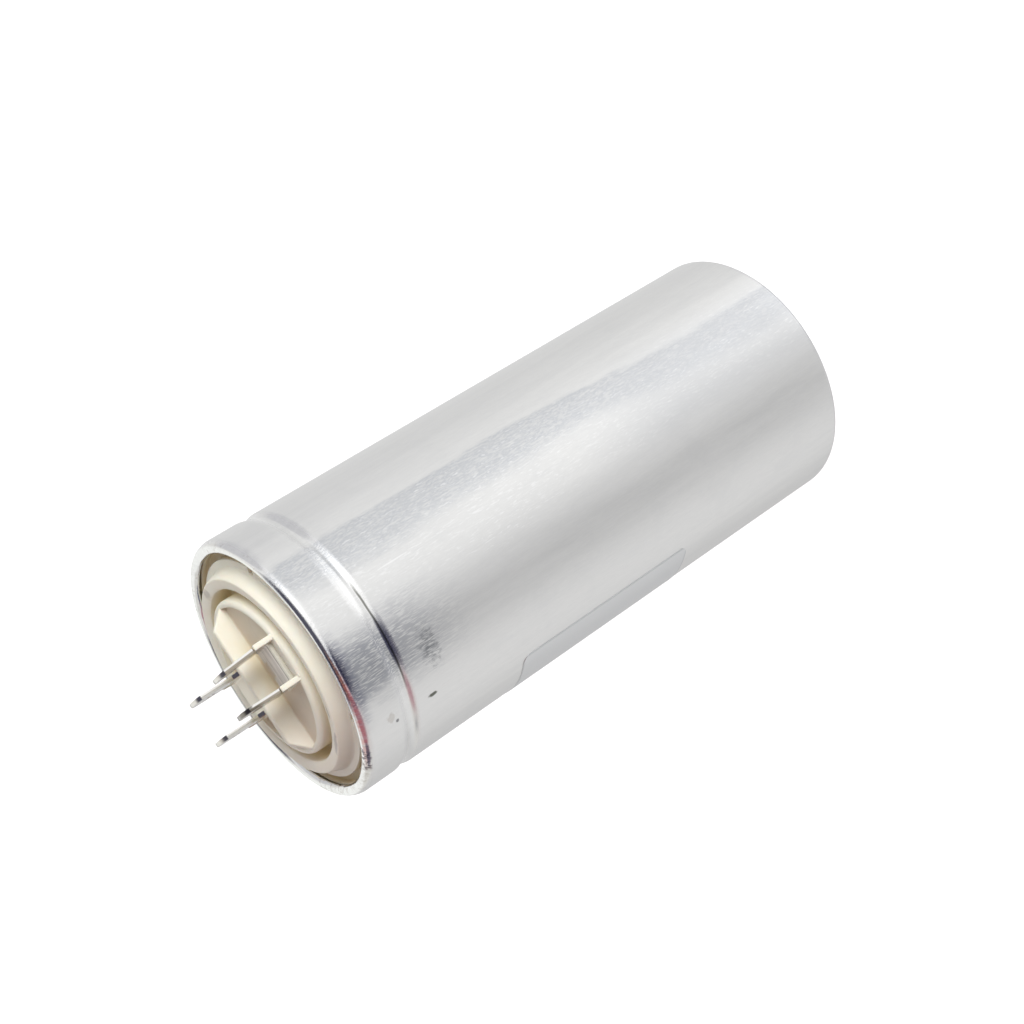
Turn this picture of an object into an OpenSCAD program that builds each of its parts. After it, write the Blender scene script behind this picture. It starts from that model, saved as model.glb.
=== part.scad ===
// Film capacitor in a drawn aluminium can, standing on its closed end.
// The can is beaded below its mouth and rolled over a moulded cover, which
// carries two folded terminals with two push-on tabs each.
// Millimetres. Origin at the centre of the closed end, +Z towards the tabs,
// +X along the bar that parts the two terminals.

/* [Can] */
// Outer diameter of the can
can_d = 50; // [48:1:60]
// Height from the closed end to the top of the rolled rim
can_h = 115.5; // [90:0.5:140]
// Thickness of the can's side wall
can_wall = 0.5; // [0.4:0.05:0.6]
// Thickness of the closed end
can_floor = 0.8; // [0.6:0.1:1.4]
// Outer radius of the edge round the closed end
end_round = 1.3; // [1:0.1:2]
// Outer radius of the rim's roll
rim_round = 1.2; // [1:0.1:1.5]
// Angle through which the wall is rolled inwards
rim_turn = 165; // [140:1:180]
// Distance of the bead's middle below the top of the rim
bead_drop = 9.7; // [9.2:0.1:12]
// Width of the bead's groove on the outside
bead_w = 2.7; // [2:0.1:3.5]
// Depth of the bead's groove
bead_depth = 0.5; // [0.3:0.05:0.8]

/* [Cover] */
// Gap between the cover's skirt and the can's wall
cover_gap = 0.1; // [0.05:0.05:0.2]
// Depth of the gap between ring and rim, below the top of the rim
gap_drop = 2.8; // [2.5:0.1:3.4]
// Height of the seal below the rim's roll
seal_t = 0.4; // [0.3:0.05:0.8]
// Wall thickness of the skirt
skirt_wall = 2; // [1.2:0.1:3]
// Thickness of the cover's floors
cover_wall = 2; // [1.5:0.1:2.5]
// Gap between the rolled rim's edge and the raised ring
rim_gap = 1.35; // [1:0.05:2]
// Width of the raised ring, its outer lip included
ring_w = 4.5; // [3.5:0.1:5]
// Height of the raised ring's crest above the rim
ring_h = 1.3; // [0.6:0.1:1.8]
// Width of the flat lip at the ring's outer edge
lip_w = 1.2; // [0.4:0.1:1.6]
// Drop of the lip below the top of the rim
lip_drop = 1.3; // [0.8:0.1:1.6]
// Drop of the ring's inner edge below its crest
ring_fall = 0.5; // [0.3:0.1:1]
// Width of the channel between ring and boss
channel_w = 1.8; // [1.2:0.1:2.4]
// Depth of the channel's floor below the top of the rim
channel_drop = 3.5; // [2.5:0.1:4.5]
// Width of the boss's raised rim
boss_rim = 1.15; // [0.9:0.05:1.6]
// Height of the boss's rim above the can's rim
boss_h = 1.9; // [1.5:0.1:2.5]
// Depth of the boss's floor below its own rim
boss_recess = 0.8; // [0.4:0.1:1.2]
// Radius on the boss's outer edge
boss_round = 0.8; // [0.4:0.1:0.9]
// Width of each notch in the ring's edge
notch_w = 1.5; // [0.8:0.1:2]
// Length of each notch, inwards from the ring's edge
notch_l = 1.2; // [0.8:0.1:1.6]
// Direction of the first of the four notches from the bar
notch_a = 47.5; // [30:0.5:60]

/* [Bar and seats] */
// Thickness of the bar between the terminals
bar_t = 1.4; // [1:0.1:2]
// Height of the bar's top above the can's rim
bar_h = 5; // [4:0.1:7]
// Length of each sloped end of the bar
bar_slope = 2.9; // [2:0.1:5]
// Thickness of the rib at each tab's outer edge
rib_t = 1; // [0.8:0.1:1.4]
// Gap between each rib and its tab
rib_gap = 0.15; // [0.1:0.05:0.3]
// Height of each terminal's seat above the boss's floor
seat_h = 0.6; // [0.3:0.1:0.9]
// Distance of each seat from the cover's middle, along the bar
seat_shift = 0.4; // [0:0.1:0.8]

/* [Terminals] */
// Width of each tab
tab_w = 6.3; // [4.8:0.1:6.5]
// Thickness of the tabs' sheet
tab_t = 0.8; // [0.5:0.1:0.8]
// Distance between the two tabs of one terminal, middle to middle
tab_pitch = 8; // [7.5:0.1:8.5]
// Distance of the tabs' outer edges from the boss's raised rim
tab_edge = 1.75; // [1.6:0.05:3]
// Height of the tabs' tips above the can's rim
tab_h = 12.1; // [10:0.1:14]
// Width of the slope at each side of a tip
tip_w = 1.6; // [1:0.1:2]
// Height of the slope at each side of a tip
tip_h = 1; // [0.6:0.1:1.5]
// Diameter of the detent hole in each tab
detent_d = 1.8; // [1.2:0.1:2.2]
// Distance of the detent hole from the tip
detent_drop = 3.6; // [3:0.1:4.5]
// Width of the stop at each tab's inner edge
stop_w = 1; // [0.5:0.1:1.5]
// Height of the stop's foot above the terminal's base
stop_foot = 0.5; // [0.3:0.1:0.8]
// Inner radius of the folds
fold_r = 0.5; // [0.3:0.1:0.8]
// Lean of the front right tab towards the other one
lean_front_right = 5.5; // [0:0.5:6]
// Width of the solder tongue
tongue_w = 2.4; // [1.6:0.1:3]
// Width of the slit at each side of the tongue's fold
tongue_slit = 0.3; // [0.2:0.05:0.5]
// Clearance round the solder tongue in the cover
tongue_gap = 0.15; // [0.1:0.05:0.3]
// Length of the solder tongue below the cover
tongue_l = 6; // [4:0.5:7]

/* [Inside] */
// Side gap between the can and its insulating linings
lining_gap = 0.2; // [0.1:0.05:0.4]
// Thickness of the insulating sleeve
liner_t = 0.35; // [0.2:0.05:0.6]
// Wall thickness of the bottom cup
cup_t = 0.8; // [0.6:0.1:1.2]
// Height of the bottom cup
cup_h = 12; // [8:1:20]
// Height of the ring in the cup that carries the roll
stand_h = 3.4; // [3.4:0.1:6]
// Gap between the wrapped roll and the bottom cup
roll_gap = 1.2; // [0.4:0.1:2]
// Thickness of the wrap round the roll
wrap_t = 0.3; // [0.1:0.05:0.6]
// Thickness of the sprayed metal on each end of the roll
spray_t = 0.6; // [0.3:0.1:1]
// Outer diameter of the winding core
core_d = 8; // [7:0.5:12]
// Wall thickness of the winding core
core_wall = 1; // [0.6:0.1:1.2]
// Height of the room for the leads above the roll
lead_room = 9; // [8:0.5:14]
// Diameter of the lead wires
wire_d = 1.2; // [0.8:0.1:1.4]
// Wall thickness of the insulating tubes on the leads
tube_t = 0.4; // [0.3:0.05:0.5]
// Wall thickness of the spacer between roll and cover
spacer_t = 1.5; // [1:0.1:2]
// Radius of the solder joints on the roll's ends
dome_r = 3; // [2.4:0.1:3.4]
// Height of the solder joints on the roll's ends
dome_h = 2.3; // [2.2:0.1:2.4]
// Gap between these joints and the rings outside them
joint_gap = 1; // [0.4:0.1:2]

/* [Label] */
// Length of the label along the can
label_l = 40; // [20:1:60]
// Arc of the label round the can, in degrees
label_arc = 66; // [30:1:110]
// Direction of the label's middle
label_a = 177.5; // [0:0.5:360]
// Height of the label's lower edge above the closed end
label_z = 41.3; // [10:0.1:60]
// Thickness of the label
label_t = 0.1; // [0.05:0.05:0.2]
// Corner radius of the label
label_r = 1.8; // [0.5:0.1:4]

/* [Hidden] */
$fn = 96;
cut = 0.01;       // overlap of a cut past the face that it opens
arc_steps = 10;   // points on a rounded corner of a section

can_r = can_d / 2;
bore_r = can_r - can_wall;
bead_z = can_h - bead_drop;
bead_r = (pow(bead_w / 2, 2) + pow(bead_depth, 2)) / (2 * bead_depth);
bead_c = can_r - bead_depth + bead_r;              // centre of the bead's arc
bead_half_in = sqrt(pow(bead_r + can_wall, 2) - pow(bead_c - bore_r, 2));
rim_c = can_r - rim_round;                         // centre of the rim's roll
rim_edge_r = rim_c - rim_round * sin(rim_turn - 90);

seal_play = 0.05;                                  // play between seal and can
cover_r = bore_r - cover_gap;
skirt_r = cover_r - skirt_wall;
skirt_z = bead_z + sqrt(pow(bead_r + can_wall, 2) - pow(bead_c - cover_r, 2)) + 0.03;
gap_z = can_h - gap_drop;
flange_z = can_h - rim_round - seal_play - seal_t; // the seal's seat on the cover
flange_in_r = rim_edge_r + 0.25;
ring_out_r = rim_edge_r - rim_gap;
ring_in_r = ring_out_r - ring_w;
lip_z = can_h - lip_drop;
crest_z = can_h + ring_h;
crest_r = ring_in_r + 0.45 * ring_w;
boss_r = ring_in_r - channel_w;
boss_in_r = boss_r - boss_rim;
boss_z = can_h + boss_h;
deck_z = boss_z - boss_recess;
channel_z = can_h - channel_drop;
cover_under_z = channel_z - cover_wall;
deck_under_z = deck_z - cover_wall;
well_r = boss_r - cover_wall;
notch_z = gap_z + 0.4;

bar_z = can_h + bar_h;
bar_foot = 2 * (boss_in_r + boss_rim / 3);
bar_top = bar_foot - 2 * bar_slope;
seat_z = deck_z + seat_h;
tab_out = boss_in_r - tab_edge;                    // outer edge of a tab
tab_mid = tab_out - tab_w / 2;
tab_in = tab_out - tab_w;
tip_z = can_h + tab_h;
base_half = tab_pitch / 2 - tab_t / 2 - fold_r;    // half the base's flat length
stop_z = seat_z + tab_t + stop_foot;
tongue_fold = 0.4;                                 // inner radius of the tongue's fold
tongue_y = tab_in + tab_t + tongue_fold;           // where the tongue leaves the base
tongue_z = deck_under_z - tongue_l;

pocket_y = tab_out + rib_gap + 0.1;                // straight wall behind each terminal

lining_r = bore_r - lining_gap;
cup_floor_z = can_floor + cup_t;
roll_z = cup_floor_z + stand_h + spray_t;
roll_top = cover_under_z - lead_room - spray_t;
roll_l = roll_top - roll_z;
wrap_r = lining_r - cup_t - roll_gap;
roll_r = wrap_r - wrap_t;
spray_r = roll_r - 0.2;
core_r = core_d / 2;
stand_r = spray_r - 3;
spacer_r = spray_r - 1;

wire_r = wire_d / 2;
wire_gap = 0.05;                                   // play between wire and tongue or tube
tube_in_r = wire_r + wire_gap;
tube_r = tube_in_r + tube_t;
bend_r = 2.2;                                      // bend of a lead, to its middle
tongue_face = tab_in + tab_t;                      // the face that the lead lies on
lead_y = -tongue_face - wire_gap - wire_r;
lead_dist = norm([seat_shift, lead_y]);            // the lead's distance from the axis
lead_a = atan2(lead_y, seat_shift);                // and its direction
wire_top_z = tongue_z + 2.5;                       // end of a lead on the tongue
top_face_z = roll_top + spray_t;
run_z = top_face_z + tube_r + 0.1;                 // leads crossing above the roll
under_z = roll_z - spray_t - wire_r - 0.1;         // lead crossing below the roll
joint_top_r = spacer_r - spacer_t - dome_r - joint_gap;
joint_low_r = stand_r - dome_r - joint_gap;

// Points on an arc from angle a to angle b, middle (x, y)
function arc(x, y, r, a, b, n = arc_steps) =
    [for (i = [0:n]) let (t = a + (b - a) * i / n) [x + r * cos(t), y + r * sin(t)]];

// Points on a quarter of an ellipse, like arc() with two radii
function oval(x, y, rx, ry, a, b, n = arc_steps) =
    [for (i = [0:n]) let (t = a + (b - a) * i / n) [x + rx * cos(t), y + ry * sin(t)]];

// Points on a soft slope from point a down to point b, level at both ends
function slope(a, b, n = 16) =
    [for (i = [0:n]) [a[0] + (b[0] - a[0]) * i / n,
                      b[1] + (a[1] - b[1]) * (1 + cos(180 * i / n)) / 2]];

module tube(r_out, r_in, h, z = 0) {
    translate([0, 0, z])
        difference() {
            cylinder(r = r_out, h = h);
            translate([0, 0, -cut])
                cylinder(r = r_in, h = h + 2 * cut);
        }
}

// One drawn shell: closed end, bead and rolled rim in one section
module can() {
    in_round = end_round - can_wall;
    bead_half = bead_w / 2;
    a_out = asin(bead_half / bead_r);
    a_in = asin(bead_half_in / (bead_r + can_wall));
    rim_z = can_h - rim_round;
    color([0.78, 0.79, 0.8])
        rotate_extrude()
            polygon(concat(
                [[0, 0]],
                arc(can_r - end_round, end_round, end_round, -90, 0),
                arc(bead_c, bead_z, bead_r, 180 + a_out, 180 - a_out),
                arc(rim_c, rim_z, rim_round, 0, rim_turn, 2 * arc_steps),
                arc(rim_c, rim_z, rim_round - can_wall, rim_turn, 0, 2 * arc_steps),
                arc(bead_c, bead_z, bead_r + can_wall, 180 - a_in, 180 + a_in),
                arc(bore_r - in_round, can_floor + in_round, in_round, 0, -90),
                [[0, can_floor]]));
}

// Half section of the cover: deck, boss, channel, ring, lip, gap, flange and skirt
module cover_section() {
    polygon(concat(
        [[0, deck_z], [boss_in_r, deck_z], [boss_in_r, boss_z]],
        arc(boss_r - boss_round, boss_z - boss_round, boss_round, 90, 0, 6),
        [[boss_r, channel_z], [ring_in_r, channel_z]],
        oval(crest_r, crest_z - ring_fall, crest_r - ring_in_r, ring_fall, 180, 90),
        slope([crest_r, crest_z], [ring_out_r - lip_w, lip_z]),
        [[ring_out_r, lip_z], [ring_out_r, gap_z], [flange_in_r, gap_z],
         [flange_in_r, flange_z], [cover_r, flange_z],
         [cover_r, skirt_z], [skirt_r, skirt_z], [skirt_r, cover_under_z],
         [well_r, cover_under_z], [well_r, deck_under_z], [0, deck_under_z]]));
}

// The bar across the boss, with sloped ends and a rounded top edge
module bar() {
    edge = bar_t / 3;
    intersection() {
        translate([0, bar_t / 2, 0])
            rotate([90, 0, 0])
                linear_extrude(bar_t)
                    polygon([[-bar_foot / 2, deck_z - cut], [bar_foot / 2, deck_z - cut],
                             [bar_foot / 2, boss_z - 0.1], [bar_top / 2, bar_z],
                             [-bar_top / 2, bar_z], [-bar_foot / 2, boss_z - 0.1]]);
        rotate([90, 0, 90])
            linear_extrude(bar_foot + 2, center = true)
                polygon(concat(
                    [[-bar_t / 2, deck_z - 1], [bar_t / 2, deck_z - 1]],
                    arc(bar_t / 2 - edge, bar_z - edge, edge, 0, 90, 5),
                    arc(-bar_t / 2 + edge, bar_z - edge, edge, 90, 180, 5)));
    }
}

// The rib that guards one tab's outer edge, its middle at x
module rib(x) {
    inner = -tab_out - rib_gap;
    foot = -sqrt(pow(boss_r - boss_rim / 3, 2) - pow(x, 2));
    translate([x + rib_t / 2, 0, 0])
        rotate([90, 0, -90])
            linear_extrude(rib_t)
                polygon([[-inner, deck_z - cut], [-inner, bar_z], [-inner + 0.35, bar_z],
                         [-foot, boss_z - 0.1], [-foot, deck_z - cut]]);
}

// One terminal's place on the cover: a raised pad and a rib for each tab
module seat() {
    pad_x = tab_pitch / 2 + tab_t / 2 + 0.2;
    translate([seat_shift - pad_x, -pocket_y - cut, deck_z - cut])
        cube([2 * pad_x, pocket_y - tab_in + 0.3, seat_h + cut]);
    translate([seat_shift - tab_pitch / 2, -boss_r + boss_rim / 2, deck_z - cut])
        cube([tab_pitch, boss_r - boss_rim / 2 - pocket_y, boss_recess + cut]);
    for (side = [-1, 1])
        rib(seat_shift + side * tab_pitch / 2);
}

// The slot that one terminal's tongue passes through
module tongue_slot() {
    slot_w = tongue_w + 2 * tongue_gap;
    translate([seat_shift - slot_w / 2, -tongue_y - tongue_gap, deck_under_z - cut])
        cube([slot_w, tongue_y - tab_in + 2 * tongue_gap, seat_z - deck_under_z + 2 * cut]);
}

// One notch in the ring's outer edge
module notch(a) {
    rotate(a)
        translate([ring_out_r - notch_l, -notch_w / 2, notch_z])
            cube([notch_l + (flange_in_r - ring_out_r) / 2, notch_w, crest_z - notch_z]);
}

// The moulded cover, one piece
module cover() {
    color([0.93, 0.9, 0.8])
        difference() {
            union() {
                rotate_extrude()
                    cover_section();
                bar();
                for (turn = [0, 180])
                    rotate(turn)
                        seat();
            }
            for (turn = [0, 180])
                rotate(turn)
                    tongue_slot();
            for (i = [0:3])
                notch(notch_a + 90 * i);
        }
}

// The seal: a ring on the cover's flange that fills the rim's roll
module gasket() {
    roll_in = rim_round - can_wall - seal_play;
    color([0.08, 0.08, 0.08])
        rotate_extrude()
            polygon(concat(
                [[rim_c - roll_in, flange_z], [rim_c + roll_in, flange_z]],
                arc(rim_c, can_h - rim_round, roll_in, 0, 180, 2 * arc_steps)));
}

// Section of one folded side: flat base, fold and tab, leaning by lean degrees
module side_section(lean) {
    fold_out = fold_r + tab_t;
    leg = tip_z - seat_z;
    square([base_half, tab_t]);
    translate([base_half, fold_out]) {
        intersection() {
            difference() {
                circle(r = fold_out, $fn = 48);
                circle(r = fold_r, $fn = 48);
            }
            polygon([[0, 0], [0, -2 * fold_out], [2 * fold_out, -2 * fold_out],
                     [2 * fold_out * cos(lean), 2 * fold_out * sin(lean)]]);
        }
        rotate(lean)
            translate([fold_r, 0])
                square([tab_t, leg]);
    }
}

// Face of the sheet across the bar: base, stops at the inner edge, sloped tips
module tab_outline() {
    polygon([[-tab_out, seat_z - 1], [-tab_in, seat_z - 1], [-tab_in, stop_z],
             [-tab_in + stop_w, stop_z], [-tab_in + stop_w, stop_z + 0.6],
             [-tab_in, stop_z + 0.6 + stop_w],
             [-tab_in, tip_z - tip_h], [-tab_in - tip_w, tip_z],
             [-tab_out + tip_w, tip_z], [-tab_out, tip_z - tip_h]]);
}

// The tongue folded down from the base's inner edge, through the cover
module tongue() {
    fold_z = seat_z - tongue_fold;
    translate([-tongue_w / 2, 0, 0])
        rotate([90, 0, 90])
            linear_extrude(tongue_w) {
                intersection() {
                    translate([-tongue_y, fold_z])
                        difference() {
                            circle(r = tongue_fold + tab_t, $fn = 48);
                            circle(r = tongue_fold, $fn = 48);
                        }
                    translate([-tongue_y - cut, fold_z])
                        square(tongue_fold + tab_t + 1);
                }
                translate([-tongue_face, tongue_z])
                    square([tab_t, fold_z - tongue_z + cut]);
            }
}

// The place cut out of the base for the tongue's fold and its two slits
module tongue_place() {
    place_w = tongue_w + 2 * tongue_slit;
    translate([-place_w / 2, -tongue_y, seat_z - cut])
        cube([place_w, tongue_y - tab_in + cut, tab_t + 2 * cut]);
}

// One folded terminal: a base with two tabs and its tongue
module terminal(lean_right) {
    translate([seat_shift, 0, 0]) {
        difference() {
            intersection() {
                translate([0, 0, seat_z])
                    rotate([90, 0, 0])
                        linear_extrude(2 * tab_out) {
                            side_section(lean_right);
                            mirror([1, 0])
                                side_section(0);
                        }
                translate([-tab_pitch, 0, 0])
                    rotate([90, 0, 90])
                        linear_extrude(2 * tab_pitch)
                            tab_outline();
            }
            tongue_place();
            translate([-tab_pitch, -tab_mid, tip_z - detent_drop])
                rotate([0, 90, 0])
                    cylinder(d = detent_d, h = 2 * tab_pitch, $fn = 32);
        }
        tongue();
    }
}

module terminal_front() {
    color([0.72, 0.71, 0.68])
        terminal(lean_front_right);
}

module terminal_rear() {
    color([0.72, 0.71, 0.68])
        rotate(180)
            terminal(0);
}

// The wound film, all its turns in one solid
module film_roll() {
    color([0.75, 0.76, 0.78])
        tube(roll_r, core_r, roll_l, roll_z);
}

module roll_wrap() {
    color([0.9, 0.88, 0.7])
        tube(wrap_r, roll_r, roll_l, roll_z);
}

module core_tube() {
    color([0.9, 0.9, 0.88])
        tube(core_r, core_r - core_wall, roll_l + 2 * spray_t, roll_z - spray_t);
}

module end_spray_top() {
    color([0.55, 0.56, 0.57])
        tube(spray_r, core_r, spray_t, roll_top);
}

module end_spray_bottom() {
    color([0.55, 0.56, 0.57])
        tube(spray_r, core_r, spray_t, roll_z - spray_t);
}

// The insulating cup under the roll, with the ring that carries it
module bottom_cup() {
    corner = end_round;
    color([0.85, 0.85, 0.82])
        rotate_extrude()
            polygon([[0, can_floor], [lining_r - corner, can_floor],
                     [lining_r, can_floor + corner], [lining_r, can_floor + cup_h],
                     [lining_r - cup_t, can_floor + cup_h], [lining_r - cup_t, cup_floor_z + corner],
                     [lining_r - cup_t - corner, cup_floor_z], [stand_r + cup_t, cup_floor_z],
                     [stand_r + cup_t, cup_floor_z + stand_h], [stand_r, cup_floor_z + stand_h],
                     [stand_r, cup_floor_z], [0, cup_floor_z]]);
}

// The insulating sleeve that stands on the cup, up to the bead
module can_liner() {
    z = can_floor + cup_h;
    color([0.88, 0.86, 0.78])
        tube(lining_r, lining_r - liner_t, bead_z - bead_half_in - 1 - z, z);
}

// The ring that holds the roll down against its cup
module top_spacer() {
    color([0.85, 0.85, 0.82])
        tube(spacer_r, spacer_r - spacer_t, cover_under_z - top_face_z, top_face_z);
}

// A bend of a round wire: from +Z at the origin round to +X
module elbow(r) {
    translate([bend_r, 0, 0])
        rotate([90, 0, 0])
            rotate([0, 0, 90])
                rotate_extrude(angle = 90, $fn = 64)
                    translate([bend_r, 0])
                        circle(r = r, $fn = 32);
}

// Front lead: down from the tongue and outwards along the roll's top face
module lead_front() {
    rise_z = run_z + bend_r;
    color([0.8, 0.55, 0.35])
        rotate(lead_a)
            translate([lead_dist, 0, 0]) {
                translate([0, 0, rise_z])
                    cylinder(r = wire_r, h = wire_top_z - rise_z, $fn = 32);
                translate([0, 0, rise_z])
                    mirror([0, 0, 1])
                        elbow(wire_r);
                translate([bend_r, 0, run_z])
                    rotate([0, 90, 0])
                        cylinder(r = wire_r, h = joint_top_r - lead_dist - bend_r, $fn = 32);
            }
}

// Rear lead: inwards to the core, down through it and out below the roll
module lead_rear() {
    rise_z = run_z + bend_r;
    color([0.8, 0.55, 0.35])
        rotate(180 + lead_a) {
            translate([lead_dist, 0, rise_z])
                cylinder(r = wire_r, h = wire_top_z - rise_z, $fn = 32);
            translate([lead_dist, 0, rise_z])
                mirror([0, 0, 1])
                    mirror([1, 0, 0])
                        elbow(wire_r);
            translate([bend_r, 0, run_z])
                rotate([0, 90, 0])
                    cylinder(r = wire_r, h = lead_dist - 2 * bend_r, $fn = 32);
            translate([0, 0, run_z - bend_r])
                elbow(wire_r);
            translate([0, 0, under_z + bend_r])
                cylinder(r = wire_r, h = run_z - under_z - 2 * bend_r, $fn = 32);
            translate([0, 0, under_z + bend_r])
                mirror([0, 0, 1])
                    elbow(wire_r);
            translate([bend_r, 0, under_z])
                rotate([0, 90, 0])
                    cylinder(r = wire_r, h = joint_low_r - bend_r, $fn = 32);
        }
}

module lead_tube_front() {
    z = run_z + bend_r;
    color([0.2, 0.35, 0.65])
        rotate(lead_a)
            translate([lead_dist, 0, 0])
                tube(tube_r, tube_in_r, tongue_z - z - 0.2, z);
}

module lead_tube_rear() {
    color([0.2, 0.35, 0.65])
        tube(tube_r, tube_in_r, roll_l + 2 * spray_t, roll_z - spray_t);
}

// Solder between a tongue and its lead
module tab_solder() {
    blob_r = 2.5 * wire_r;
    translate([seat_shift, lead_y, tongue_z + 2 * wire_r])
        difference() {
            sphere(r = blob_r, $fn = 32);
            translate([-blob_r - 1, wire_r + wire_gap, -blob_r - 1])
                cube(2 * blob_r + 2);
            translate([0, 0, -blob_r - 1])
                cylinder(r = wire_r, h = 2 * blob_r + 2, $fn = 32);
        }
}

module tab_solder_front() {
    color([0.7, 0.7, 0.72])
        tab_solder();
}

module tab_solder_rear() {
    color([0.7, 0.7, 0.72])
        rotate(180)
            tab_solder();
}

// A flat dome of solder on the roll's end, with the lead's end in it
module end_solder(wire_h) {
    ball = (pow(dome_r, 2) + pow(dome_h, 2)) / (2 * dome_h);
    difference() {
        intersection() {
            translate([0, 0, dome_h - ball])
                sphere(r = ball, $fn = 64);
            cylinder(r = dome_r + 1, h = dome_h + 1);
        }
        translate([0, 0, wire_h])
            rotate([0, -90, 0])
                cylinder(r = wire_r, h = 2 * dome_r, $fn = 32);
    }
}

module end_solder_top() {
    color([0.7, 0.7, 0.72])
        rotate(lead_a)
            translate([joint_top_r, 0, top_face_z])
                end_solder(run_z - top_face_z);
}

module end_solder_bottom() {
    face_z = roll_z - spray_t;
    color([0.7, 0.7, 0.72])
        rotate(180 + lead_a)
            translate([joint_low_r, 0, face_z])
                mirror([0, 0, 1])
                    end_solder(face_z - under_z);
}

// The label on the can's side, rounded at its corners
module label() {
    half = can_r * sin(label_arc / 2) - label_r;
    color([0.9, 0.92, 0.93])
        rotate(label_a)
            intersection() {
                tube(can_r + label_t, can_r, label_l, label_z);
                translate([0, 0, label_z + label_l / 2])
                    rotate([90, 0, 90])
                        linear_extrude(can_r + 1)
                            union() {
                                square([2 * half, label_l], center = true);
                                square([2 * (half + label_r), label_l - 2 * label_r], center = true);
                                for (x = [-1, 1], y = [-1, 1])
                                    translate([x * half, y * (label_l / 2 - label_r)])
                                        circle(r = label_r, $fn = 48);
                            }
            }
}

can();
cover();
gasket();
terminal_front();
terminal_rear();
film_roll();
roll_wrap();
core_tube();
end_spray_top();
end_spray_bottom();
bottom_cup();
can_liner();
top_spacer();
lead_front();
lead_rear();
lead_tube_front();
lead_tube_rear();
tab_solder_front();
tab_solder_rear();
end_solder_top();
end_solder_bottom();
label();
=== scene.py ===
"""Looks of the film capacitor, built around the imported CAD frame. Metres, in the CAD's own frame."""
import math

import bmesh
import bpy
from mathutils import Matrix, Vector, noise


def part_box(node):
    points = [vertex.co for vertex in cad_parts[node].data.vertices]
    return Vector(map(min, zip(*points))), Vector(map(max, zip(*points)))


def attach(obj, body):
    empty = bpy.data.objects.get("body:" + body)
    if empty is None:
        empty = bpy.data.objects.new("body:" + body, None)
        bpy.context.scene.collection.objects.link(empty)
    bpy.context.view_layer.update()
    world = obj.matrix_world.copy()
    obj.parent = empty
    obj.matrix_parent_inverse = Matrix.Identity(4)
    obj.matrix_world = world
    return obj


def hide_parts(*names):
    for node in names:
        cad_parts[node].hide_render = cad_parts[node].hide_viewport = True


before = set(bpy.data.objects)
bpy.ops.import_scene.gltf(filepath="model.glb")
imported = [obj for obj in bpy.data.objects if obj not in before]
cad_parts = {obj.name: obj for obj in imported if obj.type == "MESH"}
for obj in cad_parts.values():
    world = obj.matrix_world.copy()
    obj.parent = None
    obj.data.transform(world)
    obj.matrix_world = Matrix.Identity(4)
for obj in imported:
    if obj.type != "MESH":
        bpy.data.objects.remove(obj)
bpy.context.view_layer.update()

# ---------------------------------------------------------------- sizes, from the frame where it has them
MM = 0.001
CAN_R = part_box("can")[1].x
CAN_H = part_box("can")[1].z
COVER_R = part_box("cover")[1].x
COVER_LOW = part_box("cover")[0].z
BAR_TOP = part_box("cover")[1].z
SEAL_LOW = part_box("gasket")[0].z
TAB_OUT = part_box("terminal_rear")[1].y          # outer edge of a tab

CAN_WALL = 0.5 * MM
CAN_FLOOR = 0.8 * MM
END_ROUND = 1.3 * MM
RIM_ROUND = 1.2 * MM
RIM_TURN = 165.0                                 # degrees that the rim is rolled inwards
RAG_START = 110.0                                # degrees of the roll at which its ragged edge begins
RAG_SPAN = 50.0                                  # degrees over which it grows to its full height
RAG_WAVE = 0.09                                  # height of its waves in millimetres
RAG_FINE = 0.07                                  # height of its fine teeth in millimetres
BEAD_Z = CAN_H - 9.7 * MM
BEAD_HIGH = 2.2 * MM                             # reach of the bead's soft upper side
BEAD_LOW = 1.8 * MM                              # reach of its steeper lower side
BEAD_INSIDE = 1.5 * MM                           # reach of the bead inside, clear of the cover's skirt
BEAD_DEPTH = 0.5 * MM
BEAD_EASE = 0.3 * MM                             # level stretch on both sides of the bead
SHOULDER = 2.1 * MM                              # height over which the side rounds into the roll

RING_OUT = 21.29 * MM                            # outer radius of the cover's lip
RING_IN = 16.8 * MM                              # inner radius of the raised ring
LIP_W = 1.2 * MM
CREST_R = 18.81 * MM                             # radius of the ring's crest
LIP_Z = CAN_H - 1.3 * MM
GAP_Z = CAN_H - 2.8 * MM                         # floor of the gap between ring and rim
FLANGE_IN = 22.89 * MM
CREST_Z = CAN_H + 1.3 * MM
RING_FALL = 0.5 * MM                             # height over which the crest rounds to its inner side
CHANNEL_Z = CAN_H - 3.5 * MM
BOSS_R = 15.0 * MM
BOSS_RIM = 1.15 * MM
BOSS_ROUND = 0.8 * MM
BOSS_Z = CAN_H + 1.9 * MM
DECK_Z = BOSS_Z - 0.8 * MM
COVER_WALL = 2.0 * MM
SKIRT_WALL = 2.0 * MM
COVER_EDGE = 0.15 * MM                           # radius of the cover's crisp outer edges
COVER_FILLET = 0.3 * MM                          # radius of its inner corners
SEAT_H = 0.6 * MM                                # height of a terminal's pad over the deck
PAD_REACH = 0.6 * MM                             # how far a pad reaches past the tabs' middles
PAD_EDGE = 0.12 * MM
POCKET_GAP = 0.25 * MM                           # between a tab's outer edge and the pocket's wall
SUNK = 0.5 * MM                                  # how far pads, ribs and bar reach into the deck
SEAT_SHIFT = 0.4 * MM                            # the front terminal's shift towards +X, the rear one's towards -X
TAB_PITCH = 8.0 * MM
TAB_W = 6.3 * MM
TAB_EDGE = 0.15 * MM                             # how far a terminal's sharp edges are broken
BAR_T = 1.4 * MM
BAR_SLOPE = 2.9 * MM                             # length of each sloped end of the bar
RIB_T = 1.0 * MM
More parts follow.
